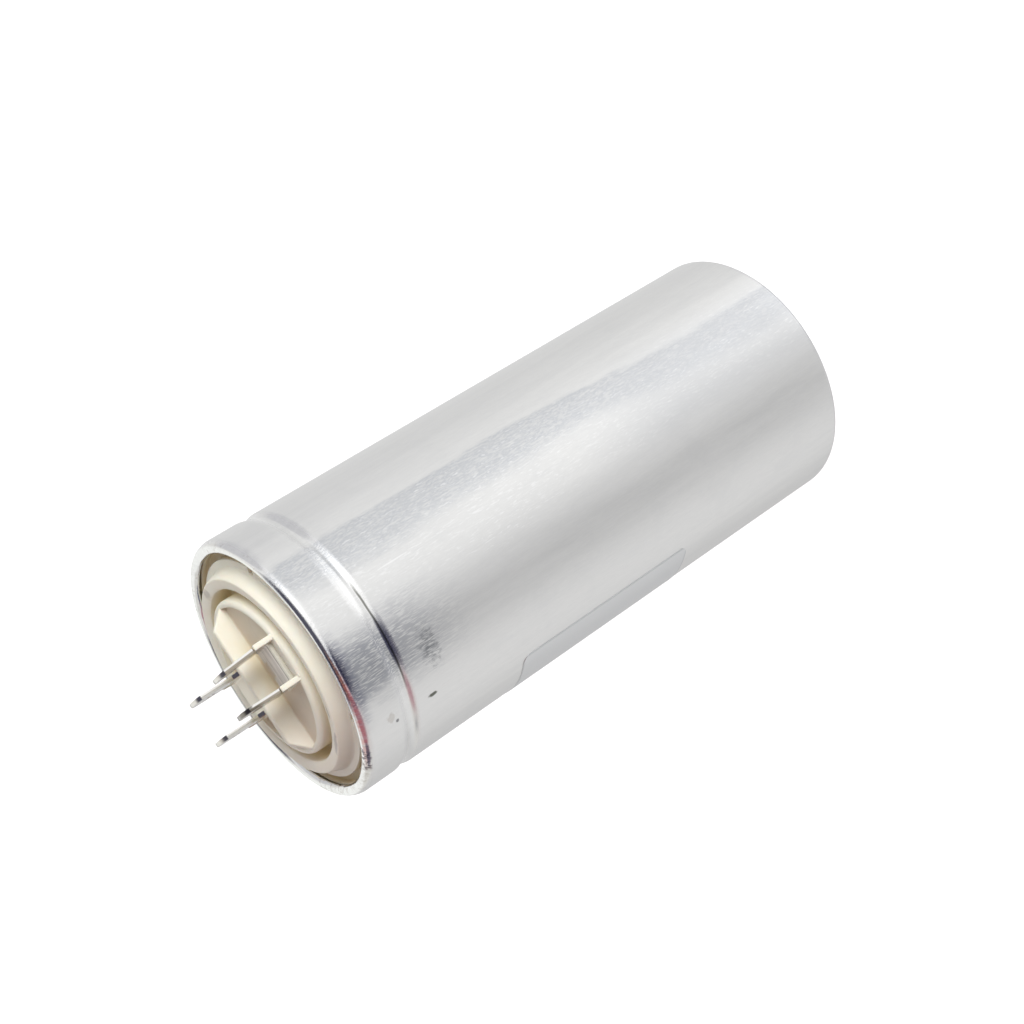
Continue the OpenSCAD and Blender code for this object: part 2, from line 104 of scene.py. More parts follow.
RIB_GAP = 0.15 * MM                              # between a rib and the tab's outer edge
RIB_FLAT = 0.35 * MM                             # level stretch on a rib's top
RIB_EDGE = 0.18 * MM
NOTCH_W = 1.5 * MM
NOTCH_L = 1.2 * MM
NOTCH_SILL = 0.4 * MM                            # height of a notch's floor over the gap's
NOTCH_EDGE = 0.15 * MM
NOTCH_ANGLES = (47.5, 137.5, 227.5, 317.5)       # degrees
LEAN = 0.082                                     # lean of the front +X tab towards -X, per height above LEAN_Z
LEAN_Z = 118.0 * MM
TONGUE_W = 2.4 * MM
TONGUE_GAP = 0.15 * MM
TONGUE_DEEP = 1.2 * MM                           # from the tab's inner edge to the end of the tongue's fold
LABEL_L = 40.0 * MM
LABEL_ARC = 66.0                                 # degrees round the can
LABEL_ANGLE = 177.5                              # azimuth of its middle
LABEL_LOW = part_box("label")[0].z
LABEL_CORNER = 1.8 * MM
LABEL_T = 0.09 * MM
LABEL_SINK = 0.02 * MM                           # how far its back lies inside the can's surface
LABEL_COLUMNS = 90                               # sections across it

PIN_MARKS = ((7.1 * MM, -8.5 * MM, 2.5 * MM), (-7.6 * MM, -8.8 * MM, 2.0 * MM))   # x, y and radius on the deck

TURNS = 288                                      # facets round a turned piece
SIDE_STEPS = 24                                  # rings along the can's side
EDGE_STEPS = 3                                   # facets across a broken edge
WHITE = (1.0, 1.0, 1.0, 1.0)


# ---------------------------------------------------------------- mesh helpers
def arc(x, y, radius, start, end, steps=10):
    """Points on an arc, angles in degrees."""
    points = []
    for i in range(steps + 1):
        a = math.radians(start + (end - start) * i / steps)
        points.append((x + radius * math.cos(a), y + radius * math.sin(a)))
    return points


def oval(x, y, rx, ry, start, end, steps=14):
    """Points on a stretch of an ellipse, angles in degrees."""
    points = []
    for i in range(steps + 1):
        a = math.radians(start + (end - start) * i / steps)
        points.append((x + rx * math.cos(a), y + ry * math.sin(a)))
    return points


def slope(a, b, steps=20):
    """Points on a soft slope from a down to b, level at both ends."""
    points = []
    for i in range(steps + 1):
        s = i / steps
        points.append((a[0] + (b[0] - a[0]) * s, b[1] + (a[1] - b[1]) * (1 + math.cos(math.pi * s)) / 2))
    return points


def make_object(name, bm):
    """A new object from a bmesh, in the scene."""
    mesh = bpy.data.meshes.new(name)
    bmesh.ops.recalc_face_normals(bm, faces=bm.faces)
    bm.to_mesh(mesh)
    bm.free()
    obj = bpy.data.objects.new(name, mesh)
    bpy.context.scene.collection.objects.link(obj)
    return obj


def soften(obj, sharp=32.0):
    """Smooth shading, with edges steeper than sharp degrees kept crisp."""
    bm = bmesh.new()
    bm.from_mesh(obj.data)
    for face in bm.faces:
        face.smooth = True
    for edge in bm.edges:
        edge.smooth = len(edge.link_faces) == 2 and edge.calc_face_angle(0.0) < math.radians(sharp)
    bm.to_mesh(obj.data)
    bm.free()


def lathe(name, profile):
    """A closed section of (r, z) points, turned about Z. Points on the axis become one vertex."""
    bm = bmesh.new()
    rings = []
    for r, z in profile:
        if r < 1e-7:
            rings.append([bm.verts.new((0.0, 0.0, z))])
            continue
        rings.append([bm.verts.new((r * math.cos(2 * math.pi * i / TURNS),
                                    r * math.sin(2 * math.pi * i / TURNS), z)) for i in range(TURNS)])
    for k, ring in enumerate(rings):
        after = rings[(k + 1) % len(rings)]
        if len(ring) == 1 and len(after) == 1:
            continue
        for i in range(TURNS):
            j = (i + 1) % TURNS
            if len(ring) == 1:
                bm.faces.new((ring[0], after[i], after[j]))
            elif len(after) == 1:
                bm.faces.new((ring[i], ring[j], after[0]))
            else:
                bm.faces.new((ring[i], ring[j], after[j], after[i]))
    return make_object(name, bm)


def loft(name, sections):
    """Closed solid through sections, each a list of as many 3-D points, with flat ends."""
    bm = bmesh.new()
    rings = [[bm.verts.new(p) for p in section] for section in sections]
    for ring, after in zip(rings, rings[1:]):
        for i in range(len(ring)):
            j = (i + 1) % len(ring)
            bm.faces.new((ring[i], ring[j], after[j], after[i]))
    bm.faces.new(rings[0])
    bm.faces.new(rings[-1])
    return make_object(name, bm)


def block(name, low, high, edge=0.0):
    """Box between two corners, with its edges rounded."""
    bm = bmesh.new()
    bmesh.ops.create_cube(bm, size=1.0)
    size = Vector(high) - Vector(low)
    middle = (Vector(high) + Vector(low)) / 2
    for v in bm.verts:
        v.co = Vector((v.co.x * size.x, v.co.y * size.y, v.co.z * size.z)) + middle
    if edge:
        bmesh.ops.bevel(bm, geom=bm.edges[:], offset=edge, segments=EDGE_STEPS, profile=0.5, affect="EDGES")
    return make_object(name, bm)


def turned(obj, degrees):
    """Turns an object's mesh about Z."""
    obj.data.transform(Matrix.Rotation(math.radians(degrees), 4, "Z"))
    return obj


def combine(base, others, operation):
    """Boolean of base with each of the others, which are used up."""
    for other in others:
        modifier = base.modifiers.new("combine", "BOOLEAN")
        modifier.operation = operation
        modifier.solver = "EXACT"
        modifier.object = other
        apply_modifiers(base)
        bpy.data.objects.remove(other)


def apply_modifiers(obj):
    """Bakes an object's modifiers into its mesh."""
    bpy.context.view_layer.update()
    shaped = bpy.data.meshes.new_from_object(obj.evaluated_get(bpy.context.evaluated_depsgraph_get()))
    obj.modifiers.clear()
    obj.data = shaped


# ---------------------------------------------------------------- shader helpers
class Nodes:
    """Builds one node tree with short calls. A value is a number, a colour or another node's output."""

    def __init__(self, tree):
        self.tree = tree
        tree.nodes.clear()

    def add(self, kind, inputs=None, **settings):
        node = self.tree.nodes.new(kind)
        for key, value in settings.items():
            setattr(node, key, value)
        for key, value in (inputs or {}).items():
            self.feed(node.inputs[key], value)
        return node

    def feed(self, socket, value):
        if isinstance(value, bpy.types.NodeSocket):
            self.tree.links.new(value, socket)
        else:
            socket.default_value = value

    def place(self):
        return self.add("ShaderNodeTexCoord").outputs["Object"]

    def math(self, operation, a, b=0.0):
        node = self.add("ShaderNodeMath", {0: a, 1: b}, operation=operation)
        return node.outputs[0]

    def vector(self, operation, a, b=(0.0, 0.0, 0.0)):
        node = self.add("ShaderNodeVectorMath", {0: a, 1: b}, operation=operation)
        return node.outputs["Value" if operation in ("LENGTH", "DISTANCE", "DOT_PRODUCT") else "Vector"]

    def stretch(self, place, scale):
        return self.vector("MULTIPLY", place, scale)

    def noise(self, place, scale, detail=3.0, rough=0.5):
        node = self.add("ShaderNodeTexNoise",
                        {"Vector": place, "Scale": scale, "Detail": detail, "Roughness": rough})
        return node.outputs["Fac"]

    def step(self, value, low, high, out_low=0.0, out_high=1.0):
        """Smooth step of value from low to high."""
        node = self.add("ShaderNodeMapRange",
                        {"Value": value, "From Min": low, "From Max": high,
                         "To Min": out_low, "To Max": out_high}, interpolation_type="SMOOTHSTEP")
        return node.outputs["Result"]

    def between(self, value, low, high, soft):
        """1 where value lies between low and high, with soft edges."""
        return self.math("MULTIPLY", self.step(value, low - soft, low + soft),
                         self.step(value, high + soft, high - soft))

    def times(self, first, *others):
        """Product of several values."""
        for other in others:
            first = self.math("MULTIPLY", first, other)
        return first

    def mix(self, factor, a, b):
        node = self.add("ShaderNodeMix", data_type="RGBA")
        self.feed(node.inputs[0], factor)
        self.feed(node.inputs[6], a)
        self.feed(node.inputs[7], b)
        return node.outputs[2]

    def tint(self, colour, mask, factor, tone):
        """The colour, moved towards a tone by this factor where the mask is 1."""
        return self.mix(self.math("MULTIPLY", mask, factor), colour, tone)

    def blend(self, factor, a, b):
        """Mix of two numbers."""
        node = self.add("ShaderNodeMix", data_type="FLOAT")
        self.feed(node.inputs[0], factor)
        self.feed(node.inputs[2], a)
        self.feed(node.inputs[3], b)
        return node.outputs[0]

    def spot(self, place, centre, size, turn=0.0, ragged=0.4, grain=900.0, edge=0.35):
        """Mask of a ragged patch: size is (outwards, sideways, upwards), turn the angle of outwards about Z."""
        local = self.add("ShaderNodeMapping", {"Vector": place, "Location": centre,
                                               "Rotation": (0.0, 0.0, turn), "Scale": size},
                         vector_type="TEXTURE").outputs[0]
        far = self.vector("LENGTH", local)
        rough = self.math("MULTIPLY", self.math("SUBTRACT", self.noise(place, grain, 4.0, 0.6), 0.5), ragged * 4)
        return self.step(self.math("ADD", far, rough), 1.0 + edge, 1.0 - edge)

    def bump(self, height, distance, strength=1.0, normal=None):
        node = self.add("ShaderNodeBump", {"Height": height, "Distance": distance, "Strength": strength})
        if normal is not None:
            self.feed(node.inputs["Normal"], normal)
        return node.outputs[0]

    def surface(self, **inputs):
        """Principled surface into the material's output."""
        shader = self.add("ShaderNodeBsdfPrincipled")
        for key, value in inputs.items():
            self.feed(shader.inputs[key.replace("_", " ")], value)
        out = self.add("ShaderNodeOutputMaterial")
        self.tree.links.new(shader.outputs[0], out.inputs["Surface"])


def material(name):
    """A new material and the helper for its nodes."""
    made = bpy.data.materials.new(name)
    made.use_nodes = True
    return made, Nodes(made.node_tree)


def dress(obj, made):
    """Gives an object one material."""
    obj.data.materials.clear()
    obj.data.materials.append(made)


def on_can(angle, z, r=CAN_R):
    """Point on the can's side, angle in degrees and z in millimetres above the closed end."""
    a = math.radians(angle)
    return (r * math.cos(a), r * math.sin(a), z * MM)


# ---------------------------------------------------------------- materials
def can_material():
    """Drawn aluminium: short streaks along the can, a rubbed side, a scuff, nicks and a creased rim, with painted
    highlight streaks, painted dark reflections near the rim and a painted red reflection on the roll.
    """
    made, n = material("can_aluminium")
    place = n.place()
    parts = n.add("ShaderNodeSeparateXYZ", {0: place})
    z = parts.outputs["Z"]
    angle = n.math("DEGREES", n.math("ARCTAN2", parts.outputs["Y"], parts.outputs["X"]))
    fine = n.noise(n.stretch(place, (1.0, 1.0, 0.10)), 5600.0, 4.0, 0.62)
    broad = n.noise(n.stretch(place, (1.0, 1.0, 0.09)), 520.0, 4.0, 0.55)
    cloud = n.noise(place, 110.0, 5.0, 0.6)
    drift = n.noise(n.stretch(place, (1.0, 1.0, 0.3)), 160.0, 4.0, 0.6)
    specks = n.noise(n.stretch(place, (1.0, 1.0, 0.2)), 3000.0, 4.0, 0.65)
    bent = n.math("ADD", angle, n.math("MULTIPLY", n.math("SUBTRACT", drift, 0.5), 26.0))
    streak = n.blend(0.45, broad, fine)
    colour = n.mix(n.step(streak, 0.3, 0.7), (0.835, 0.835, 0.83, 1.0), (0.905, 0.905, 0.895, 1.0))
    colour = n.mix(n.step(cloud, 0.5, 0.75, 0.0, 0.25), colour, (0.75, 0.755, 0.76, 1.0))
    # the rubbed side: dull blue-grey along its +X edge, bright short scratches beside it
    lower = n.math("ADD", n.math("ADD", angle, n.math("MULTIPLY", n.math("SUBTRACT", drift, 0.5), 12.0)),
                   n.step(z, 62 * MM, 22 * MM, 0.0, 6.0))
    rubbed = n.times(n.step(lower, -80.0, -70.0), n.step(lower, -58.0, -61.0), n.step(specks, 0.35, 0.62, 0.3, 1.0))
    colour = n.tint(colour, rubbed, 0.6, (0.47, 0.50, 0.55, 1.0))
    worn = n.times(n.between(angle, -98.0, -64.0, 8.0), n.step(z, 60 * MM, 30 * MM))
    colour = n.tint(colour, worn, 0.5, (0.66, 0.67, 0.69, 1.0))
    flecks = n.times(n.between(bent, -96.0, -60.0, 6.0), n.step(z, 30 * MM, 70 * MM, 0.4, 1.0),
                     n.step(specks, 0.55, 0.66))
    colour = n.tint(colour, flecks, 0.7, WHITE)
    # painted highlight: white streaks along the band of the side that reflects the bright front of the tent
    highlight_band = n.between(bent, -92.0, -66.0, 8.0)
    colour = n.mix(n.times(highlight_band, n.step(fine, 0.58, 0.70), 0.6), colour, WHITE)
    # painted reflection: the dark stretch that deepens towards the rim, cut by pale scratches, is painted where the
    # side reflects the dark things in front; and a dark line along the bead
    dark_side_reflection = n.times(n.between(bent, -120.0, -98.0, 6.0), n.step(z, 86 * MM, 110 * MM), n.step(fine, 0.62, 0.46))
    colour = n.tint(colour, dark_side_reflection, 0.62, (0.26, 0.28, 0.34, 1.0))
    # painted reflection: a navy tint just under the rim, where the side reflects the dark thing in front
    navy_rim_reflection = n.times(n.between(bent, -125.0, -95.0, 8.0), n.step(z, CAN_H - 3.4 * MM, CAN_H - 1.8 * MM),
                    n.step(fine, 0.64, 0.44, 0.2, 1.0))
    colour = n.tint(colour, navy_rim_reflection, 0.5, (0.16, 0.17, 0.26, 1.0))
    # a dark line along the bead's lower side, from -82 to -124 degrees
    wander = n.math("ADD", z, n.math("MULTIPLY", n.math("SUBTRACT", cloud, 0.5), 0.5 * MM))
    bead_dark_line = n.times(n.between(wander, BEAD_Z - 0.75 * MM, BEAD_Z - 0.45 * MM, 0.12 * MM),
                   n.between(angle, -124.0, -82.0, 5.0))
    colour = n.tint(colour, bead_dark_line, 0.85, (0.11, 0.11, 0.09, 1.0))
    scuff = n.spot(place, on_can(-116.5, 99.0), (2 * MM, 2.6 * MM, 1.4 * MM), math.radians(-116.5), 0.8, 1100.0, 0.7)
    nick = n.spot(place, on_can(-136.0, 101.0), (1 * MM, 0.35 * MM, 0.9 * MM), math.radians(-136.0), 0.3, 1800.0)
    dot = n.spot(place, on_can(-137.0, 108.6), (1 * MM, 0.3 * MM, 0.3 * MM), math.radians(-137.0), 0.2, 1800.0)
    stain = n.spot(place, on_can(-134.5, 109.6), (1 * MM, 0.9 * MM, 0.7 * MM), math.radians(-134.5), 0.7, 1400.0)
    scratch = n.spot(place, on_can(-82.0, 97.3), (1 * MM, 0.12 * MM, 2.8 * MM), math.radians(-82.0), 0.3, 1800.0)
    colour = n.tint(colour, scratch, 0.9, WHITE)
    colour = n.mix(n.times(scuff, n.step(fine, 0.62, 0.42), 0.75), colour, (0.20, 0.21, 0.23, 1.0))
    colour = n.tint(colour, nick, 0.9, (0.10, 0.11, 0.08, 1.0))
    colour = n.tint(colour, stain, 0.25, (0.35, 0.28, 0.20, 1.0))
    colour = n.tint(colour, dot, 0.8, (0.16, 0.16, 0.17, 1.0))
    # the roll: the angle round its section, a ragged edge painted bright as a highlight and broken by dark nicks, a
    # painted red reflection, and creases where it was crushed
    radius = n.vector("LENGTH", n.stretch(place, (1.0, 1.0, 0.0)))
    over = n.math("SUBTRACT", z, CAN_H - RIM_ROUND)
    inward = n.math("SUBTRACT", CAN_R - RIM_ROUND, radius)
    roll = n.math("DEGREES", n.math("ARCTAN2", inward, over))
    top = n.step(z, CAN_H - 1.3 * MM, CAN_H - 0.7 * MM)
    crumbs = n.noise(n.stretch(place, (1.0, 1.0, 0.3)), 1300.0, 4.0, 0.6)
    # painted reflection of the red thing in the tent, on the top of the roll
    red_reflection = n.times(top, n.between(angle, -150.0, -106.0, 7.0), n.between(roll, -66.0, -14.0, 10.0))
    colour = n.mix(n.math("MULTIPLY", red_reflection, n.step(crumbs, 0.60, 0.42, 0.15, 0.6)), colour, (0.80, 0.38, 0.38, 1.0))
    ragged = n.math("ADD", roll, n.math("MULTIPLY", n.math("SUBTRACT", crumbs, 0.5), 22.0))
    # painted highlight: on the near side the inner top of the roll is painted white, broken by dark nicks
    near = n.between(angle, -158.0, -22.0, 8.0)
    edge = n.times(top, near, n.step(ragged, 20.0, 27.0))
    colour = n.mix(edge, colour, n.mix(n.step(crumbs, 0.42, 0.5), (0.20, 0.15, 0.12, 1.0), WHITE))
    crease = n.times(n.between(angle, -155.0, -140.5, 1.5), top, n.step(crumbs, 0.48, 0.54), n.step(roll, 34.0, 10.0))
    colour = n.tint(colour, crease, 0.75, (0.08, 0.04, 0.07, 1.0))
    grime = n.times(top, n.step(n.noise(place, 700.0, 5.0, 0.7),
                                n.step(n.math("ABSOLUTE", angle), 140.0, 160.0, 0.56, 0.44), 0.68))
    colour = n.tint(colour, grime, 0.35, (0.38, 0.31, 0.25, 1.0))
    bead = n.between(z, BEAD_Z - 1.2 * MM, BEAD_Z + 1.2 * MM, 0.3 * MM)
    rough = n.blend(n.step(broad, 0.3, 0.7), 0.30, 0.40)
    rough = n.blend(n.math("MAXIMUM", top, n.math("MULTIPLY", bead, 0.7)), rough, 0.14)
    height = n.blend(0.6, broad, fine)
    deep = n.math("ADD", 0.15, n.math("MULTIPLY", n.math("MAXIMUM", rubbed, highlight_band), 0.85))
    height = n.blend(n.math("MULTIPLY", n.math("MAXIMUM", rubbed, flecks), 0.7), height, specks)
    normal = n.bump(n.math("MULTIPLY", height, deep), 0.03 * MM, 0.9)
    normal = n.bump(n.noise(n.stretch(place, (1.0, 1.0, 0.3)), 60.0, 2.0), 0.12 * MM, 0.5, normal)
    n.surface(Base_Color=colour, Metallic=1.0, Roughness=rough, Normal=normal)
    return made


def cover_material():
    """Ivory moulding: soft sheen, painted shade browning its floors, channel and gap and the bar beside the
    terminals, a little dirt in the gap, smears, scratches and pin marks.
    """
    made, n = material("cover_plastic")
    place = n.place()
    parts = n.add("ShaderNodeSeparateXYZ", {0: place})
    x, y, z = (parts.outputs[axis] for axis in "XYZ")
    cloud = n.noise(place, 160.0, 4.0, 0.6)
    radius = n.vector("LENGTH", n.stretch(place, (1.0, 1.0, 0.0)))
    colour = n.mix(n.step(cloud, 0.35, 0.7), (0.85, 0.825, 0.71, 1.0), (0.83, 0.795, 0.665, 1.0))
    # painted shade: floors of the two halves are browner, as shade and warm bounce in these recesses, and the -X
    # side, away from the light, a little pinker and darker
    floor = n.math("MULTIPLY", n.step(radius, BOSS_R - 1.1 * MM, BOSS_R - 1.3 * MM),
                   n.step(z, DECK_Z + 0.3 * MM, DECK_Z))
    colour = n.tint(colour, floor, 0.75, (0.67, 0.57, 0.44, 1.0))
    pink_shade = n.step(x, -2 * MM, -19 * MM)
    colour = n.tint(colour, pink_shade, 0.35, (0.76, 0.64, 0.57, 1.0))
    # painted shade: the channel warms towards its floor, and brown lies deep in it and in the gap, painted shade with
    # a little dirt
    channel_shade = n.times(n.between(radius, BOSS_R - 0.1 * MM, RING_IN + 0.3 * MM, 0.2 * MM),
                      n.step(z, CREST_Z, CAN_H - 1.2 * MM))
    colour = n.tint(colour, channel_shade, 0.7, (0.88, 0.75, 0.47, 1.0))
    deep = n.step(z, CAN_H - 1.2 * MM, CAN_H - 2.6 * MM)
    outside = n.step(radius, RING_OUT - 1.8 * MM, RING_OUT - 1.4 * MM, 0.3, 1.0)
    colour = n.mix(n.times(deep, outside, n.step(cloud, 0.2, 0.8, 0.6, 0.9)), colour, (0.70, 0.57, 0.34, 1.0))
    # painted shadow on the bar's faces, down beside the terminals
    blade_shadow = n.times(n.step(n.math("ABSOLUTE", y), 2 * MM, 1 * MM), n.step(z, DECK_Z + 3.2 * MM, DECK_Z + 0.4 * MM),
                     n.step(n.math("ABSOLUTE", n.math("SUBTRACT", x, SEAT_SHIFT)), 10 * MM, 4 * MM))
    colour = n.tint(colour, blade_shadow, 0.5, (0.76, 0.65, 0.40, 1.0))
    for at_x, at_y, wide in PIN_MARKS:
        off = n.vector("LENGTH", n.stretch(n.vector("SUBTRACT", place, (at_x, at_y, 0.0)), (1.0, 1.0, 0.0)))
        line = n.times(n.between(off, wide - 0.03 * MM, wide + 0.03 * MM, 0.05 * MM),
                       n.step(z, DECK_Z + 0.2 * MM, DECK_Z + 0.1 * MM))
        colour = n.tint(colour, line, 0.45, (0.45, 0.38, 0.30, 1.0))
    for angle, at_z, at_r, width, length, ragged, factor, tone in SMEARS:
        smear = n.spot(place, on_can(angle, at_z, at_r * MM), (width * MM, length * MM, 2 * MM),
                       math.radians(angle), ragged)
        colour = n.tint(colour, smear, factor, tone)
    scratch = n.noise(n.stretch(place, (1.0, 0.05, 1.0)), 3000.0, 2.0)
    grain = n.noise(place, 5000.0, 2.0)
    normal = n.bump(n.blend(0.4, grain, scratch), 0.006 * MM, 0.7)
    n.surface(Base_Color=colour, Roughness=n.step(cloud, 0.3, 0.7, 0.42, 0.55), Normal=normal,
              Subsurface_Weight=0.2, Subsurface_Radius=(0.0012, 0.0008, 0.0005), Subsurface_Scale=1.0,
              IOR=1.49)
    return made


# Dark smears on the cover's ring: angle in degrees, height, radius, width and length in millimetres, raggedness,
# strength and colour.
SMEARS = [(9.0, 116.6, 17.9, 0.8, 1.3, 0.5, 0.5, (0.40, 0.37, 0.34, 1.0)),
          (-149.0, 116.8, 18.3, 0.45, 2.6, 0.35, 0.55, (0.26, 0.21, 0.21, 1.0)),
          (-127.0, 116.8, 18.0, 0.14, 1.3, 0.4, 0.7, (0.22, 0.19, 0.20, 1.0))]


def seal_material():
    """Rubber of the sealing ring, under brown dirt."""
    made, n = material("seal_rubber")
    place = n.place()
    cloud = n.noise(place, 900.0, 4.0, 0.6)
    colour = n.mix(n.step(cloud, 0.35, 0.7), (0.09, 0.08, 0.05, 1.0), (0.24, 0.20, 0.12, 1.0))
    n.surface(Base_Color=colour, Roughness=n.step(cloud, 0.3, 0.7, 0.6, 0.8),
              Normal=n.bump(cloud, 0.03 * MM, 0.5))
    return made


def tab_material():
    """Tin-plated sheet: smooth faces with rolled lines, a few pits, two-tone sheared edges, dirt, a dark tip and
    faces towards -X painted as reflections, a dull base with painted highlight and shade lines.
    """
    made, n = material("tinned_brass")
    place = n.place()
    parts = n.add("ShaderNodeSeparateXYZ", {0: place})
    x, y, z = (parts.outputs[axis] for axis in "XYZ")
    lines = n.noise(n.stretch(place, (1.0, 0.5, 0.06)), 3200.0, 3.0, 0.6)
    cloud = n.noise(place, 420.0, 3.0, 0.5)
    crumbs = n.noise(place, 2400.0, 4.0, 0.6)
    facing = n.add("ShaderNodeSeparateXYZ", {0: n.add("ShaderNodeNewGeometry").outputs["Normal"]})
    sheared = n.step(n.math("ABSOLUTE", facing.outputs["Y"]), 0.7, 0.9)
    colour = n.mix(n.step(cloud, 0.35, 0.7), (0.80, 0.78, 0.74, 1.0), (0.70, 0.66, 0.61, 1.0))
    colour = n.tint(colour, sheared, 0.9, (0.97, 0.96, 0.93, 1.0))
    rear = n.step(y, 0.0, 1 * MM)
    # the sheared edges are bright on the +X half and dull on the -X half; the front +X tab leans
    right = n.math("SIGN", x)
    centre = n.math("ADD", n.math("MULTIPLY", right, TAB_PITCH / 2),
                    n.step(y, 0.0, 1 * MM, SEAT_SHIFT, -SEAT_SHIFT))
    rise = n.math("MAXIMUM", n.math("SUBTRACT", z, LEAN_Z), 0.0)
    lean = n.times(rise, LEAN, n.math("MAXIMUM", right, 0.0), n.math("SUBTRACT", 1.0, rear))
    off = n.math("SUBTRACT", n.math("ADD", x, lean), centre)
    torn = n.times(sheared, n.step(off, 0.10 * MM, -0.06 * MM), n.step(z, DECK_Z + 2.0 * MM, DECK_Z + 3.0 * MM))
    colour = n.tint(colour, torn, 0.9, n.mix(rear, (0.36, 0.31, 0.24, 1.0), (0.66, 0.64, 0.60, 1.0)))
    # the tip of the front -X tab: its chamfer painted near black as a reflection of the dark above it, and its dull
    # sheared edge there darkened too
    narrow = n.step(n.math("ABSOLUTE", facing.outputs["X"]), 0.6, 0.3)
    end = n.times(narrow, n.step(z, BAR_TOP + 5.2 * MM, BAR_TOP + 5.8 * MM))
    tip = n.times(n.math("MAXIMUM", torn, end), n.step(x, 0.0, -1 * MM), n.math("SUBTRACT", 1.0, rear),
                  n.step(z, BAR_TOP + 3 * MM, BAR_TOP + 5 * MM))
    colour = n.tint(colour, tip, 0.75, (0.10, 0.085, 0.065, 1.0))
    # painted reflection: whatever faces -X is painted dull and dark
    side = n.step(facing.outputs["X"], -0.25, -0.45)
    colour = n.tint(colour, side, 0.9, n.mix(rear, (0.34, 0.29, 0.23, 1.0), (0.62, 0.60, 0.56, 1.0)))
    colour = n.tint(colour, n.step(crumbs, 0.62, 0.68), 0.4, (0.30, 0.26, 0.20, 1.0))
    # the base is duller, with pale and dark lines painted along it as highlights and shade; the rear one is cream
    base = n.step(z, DECK_Z + 2.4 * MM, DECK_Z + 1.9 * MM)
    out = n.math("SUBTRACT", TAB_OUT, n.math("ABSOLUTE", y))
    wave = n.math("ADD", out, n.math("MULTIPLY", n.math("SUBTRACT", crumbs, 0.5), 0.4 * MM))
    dull = n.mix(n.step(n.noise(n.stretch(place, (0.12, 1.0, 1.0)), 1500.0, 3.0), 0.35, 0.65),
                 (0.54, 0.49, 0.45, 1.0), (0.70, 0.64, 0.59, 1.0))
    colour = n.tint(colour, base, 0.9, dull)
    for first, last, factor, tone in BASE_LIGHT_LINES:
        colour = n.mix(n.times(base, n.between(wave, first * MM, last * MM, 0.08 * MM), factor), colour, tone)
    colour = n.mix(n.times(base, rear, 0.9), colour, (0.88, 0.82, 0.69, 1.0))
    rough = n.blend(n.step(cloud, 0.3, 0.7), 0.10, 0.20)
    rough = n.blend(base, rough, 0.42)
    normal = n.bump(n.blend(0.3, lines, cloud), 0.010 * MM, 0.4)
    n.surface(Base_Color=colour, Metallic=n.blend(base, 1.0, 0.45), Roughness=rough, Normal=normal)
    return made


# Painted highlight and shade lines along a terminal's base, in millimetres from its outer edge: start, end, strength
# and colour.
BASE_LIGHT_LINES = [(-0.2, 0.7, 0.8, (0.80, 0.78, 0.68, 1.0)), (0.75, 0.95, 0.8, (0.20, 0.17, 0.14, 1.0)),
              (1.1, 1.6, 0.7, (0.84, 0.80, 0.74, 1.0)), (4.1, 4.3, 0.6, (0.24, 0.20, 0.17, 1.0))]


def label_material():
    """Thin film nearly in the metal's tone, its outline faintly darker."""
    made, n = material("label_film")
    place = n.place()
    parts = n.add("ShaderNodeSeparateXYZ", {0: place})
    cloud = n.noise(n.stretch(place, (1.0, 1.0, 0.3)), 260.0, 4.0, 0.5)
    colour = n.mix(cloud, (0.76, 0.78, 0.785, 1.0), (0.84, 0.855, 0.86, 1.0))
    middle = LABEL_LOW + LABEL_L / 2
    to_end = n.math("SUBTRACT", LABEL_L / 2, n.math("ABSOLUTE", n.math("SUBTRACT", parts.outputs["Z"], middle)))
    turned_place = n.add("ShaderNodeMapping", {"Vector": place, "Rotation": (0.0, 0.0, math.radians(LABEL_ANGLE))},
                         vector_type="TEXTURE").outputs[0]
    across = n.math("ABSOLUTE", n.add("ShaderNodeSeparateXYZ", {0: turned_place}).outputs["Y"])
    half_w = CAN_R * math.sin(math.radians(LABEL_ARC / 2))
    rim = n.math("MINIMUM", to_end, n.math("SUBTRACT", half_w, across))
    colour = n.mix(n.step(rim, 0.45 * MM, 0.1 * MM, 0.0, 0.5), colour, (0.50, 0.52, 0.53, 1.0))
    n.surface(Base_Color=colour, Metallic=0.8, Roughness=n.step(cloud, 0.3, 0.7, 0.30, 0.38),
              Normal=n.bump(cloud, 0.03 * MM, 0.3))
    return made


def inner_material(name, colour, metallic, rough, scale):
    """Plain stock with a little tone and grain, for the pieces inside the can."""
    made, n = material(name)
    cloud = n.noise(n.place(), scale, 4.0, 0.6)
    darker = tuple(0.8 * c for c in colour) + (1.0,)
    n.surface(Base_Color=n.mix(cloud, darker, colour + (1.0,)), Metallic=metallic,
              Roughness=n.step(cloud, 0.3, 0.7, 0.8 * rough, rough), Normal=n.bump(cloud, 0.02 * MM, 0.5))
    return made


# ---------------------------------------------------------------- pieces
def bead_side(radius, low, high, steps=12):
    """Section of the bead on a wall of this radius, from its low end up: it reaches low and high from its middle."""
    points = [(radius, BEAD_Z - low - BEAD_EASE)]
    for i in range(-steps, steps + 1):
        s = i / steps
        reach = low if s < 0 else high
        points.append((radius - BEAD_DEPTH * (1 + math.cos(math.pi * s)) / 2, BEAD_Z + s * reach))
    return points + [(radius, BEAD_Z + high + BEAD_EASE)]


